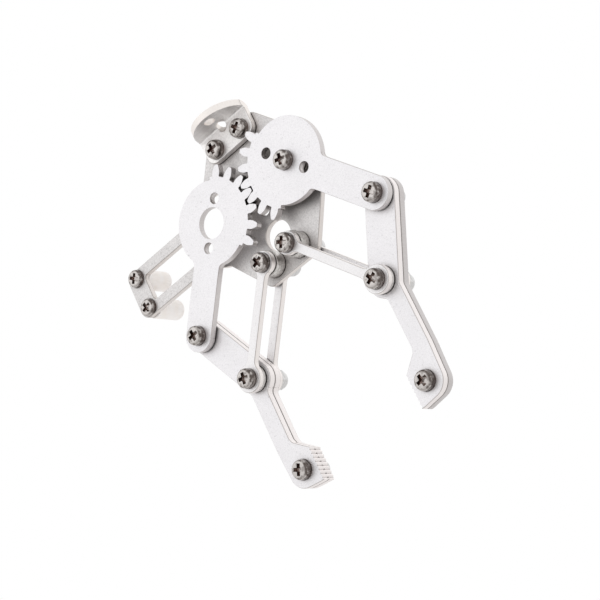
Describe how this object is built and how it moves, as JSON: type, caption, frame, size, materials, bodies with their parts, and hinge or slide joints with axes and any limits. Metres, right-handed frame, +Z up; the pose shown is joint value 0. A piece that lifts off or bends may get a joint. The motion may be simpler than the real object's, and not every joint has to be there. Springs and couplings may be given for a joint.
{
  "type": "electric two finger gripper",
  "caption": "Plate gripper with meshed sector gears that open parallel fingers, a bent wrist bracket and a bar frame that seats a standard servo.",
  "frame": {"origin": "centre of the wrist hole on the top face of the bracket's flange", "axes": "+Z up the gripper axis from the fingertips to the wrist, +X from the drive gear to the driven gear, the gears face -Y"},
  "size_m": [0.0928, 0.0226, 0.1053],
  "materials": {
    "base_plate": "fine blasted and clear anodised sheet",
    "wrist_bracket": "fine blasted and clear anodised sheet",
    "gear_arms": "fine blasted and clear anodised sheet",
    "links": "fine blasted and clear anodised sheet",
    "fingers": "fine blasted and clear anodised sheet",
    "servo_posts": "smooth natural nylon",
    "screws": "dark oiled steel",
    "lock_nuts": "bright zinc plate",
    "spacers": "zinc plated, turned"
  },
  "bodies": {
    "base": {"base_plate": "base_plate", "servo_posts": "servo_posts", "servo_post_screws": "screws", "wrist_bracket": "wrist_bracket", "wrist_bracket_screws": "screws", "wrist_bracket_nuts": "lock_nuts", "driven_gear_bush": "spacers", "driven_gear_screw": "screws", "driven_gear_nut": "lock_nuts", "link_standoffs": "spacers", "link_rear_spacers": "spacers", "link_base_screws": "screws", "link_base_nuts": "lock_nuts"},
    "drive_arm": {"drive_gear_arm": "gear_arms"},
    "driven_arm": {"driven_gear_arm": "gear_arms"},
    "drive_front_link": {"drive_front_link": "links"},
    "drive_rear_link": {"drive_rear_link": "links"},
    "driven_front_link": {"driven_front_link": "links"},
    "driven_rear_link": {"driven_rear_link": "links"},
    "drive_finger": {"drive_finger_front": "fingers", "drive_finger_rear": "fingers", "drive_arm_screw": "screws", "drive_arm_washer": "spacers", "drive_arm_nut": "lock_nuts", "drive_link_screw": "screws", "drive_link_spacer": "spacers", "drive_link_nut": "lock_nuts", "drive_tip_screw": "screws", "drive_tip_nut": "lock_nuts"},
    "driven_finger": {"driven_finger_front": "fingers", "driven_finger_rear": "fingers", "driven_arm_screw": "screws", "driven_arm_washer": "spacers", "driven_arm_nut": "lock_nuts", "driven_link_screw": "screws", "driven_link_spacer": "spacers", "driven_link_nut": "lock_nuts", "driven_tip_screw": "screws", "driven_tip_nut": "lock_nuts"}
  },
  "joints": [
    {"name": "drive_gear_turn", "type": "hinge", "parent": "base", "child": "drive_arm", "pos_m": [-0.015, 0.0033, -0.0257], "axis": [0, 1, 0], "range_deg": [-35, 27.5]},
    {"name": "driven_gear_turn", "type": "hinge", "parent": "base", "child": "driven_arm", "pos_m": [0.015, 0.0033, -0.0257], "axis": [0, 1, 0], "range_deg": [-27.5, 35]},
    {"name": "drive_finger_pivot", "type": "hinge", "parent": "drive_arm", "child": "drive_finger", "pos_m": [-0.03461, 0.0071, -0.05035], "axis": [0, 1, 0], "range_deg": [-27.5, 35]},
    {"name": "driven_finger_pivot", "type": "hinge", "parent": "driven_arm", "child": "driven_finger", "pos_m": [0.03461, 0.0071, -0.05035], "axis": [0, 1, 0], "range_deg": [-35, 27.5]},
    {"name": "drive_front_link_pivot", "type": "hinge", "parent": "base", "child": "drive_front_link", "pos_m": [-0.0048, 0.0024, -0.0459], "axis": [0, 1, 0], "range_deg": [-35, 27.5]},
    {"name": "drive_rear_link_pivot", "type": "hinge", "parent": "base", "child": "drive_rear_link", "pos_m": [-0.0048, 0.0106, -0.0459], "axis": [0, 1, 0], "range_deg": [-35, 27.5]},
    {"name": "driven_front_link_pivot", "type": "hinge", "parent": "base", "child": "driven_front_link", "pos_m": [0.0048, 0.0024, -0.0459], "axis": [0, 1, 0], "range_deg": [-27.5, 35]},
    {"name": "driven_rear_link_pivot", "type": "hinge", "parent": "base", "child": "driven_rear_link", "pos_m": [0.0048, 0.0106, -0.0459], "axis": [0, 1, 0], "range_deg": [-27.5, 35]}
  ],
  "couplings": [
    {"joint": "driven_gear_turn", "follows": "drive_gear_turn", "ratio": -1},
    {"joint": "drive_finger_pivot", "follows": "drive_gear_turn", "ratio": -1},
    {"joint": "driven_finger_pivot", "follows": "drive_gear_turn", "ratio": 1},
    {"joint": "drive_front_link_pivot", "follows": "drive_gear_turn", "ratio": 1},
    {"joint": "drive_rear_link_pivot", "follows": "drive_gear_turn", "ratio": 1},
    {"joint": "driven_front_link_pivot", "follows": "drive_gear_turn", "ratio": -1},
    {"joint": "driven_rear_link_pivot", "follows": "drive_gear_turn", "ratio": -1}
  ]
}
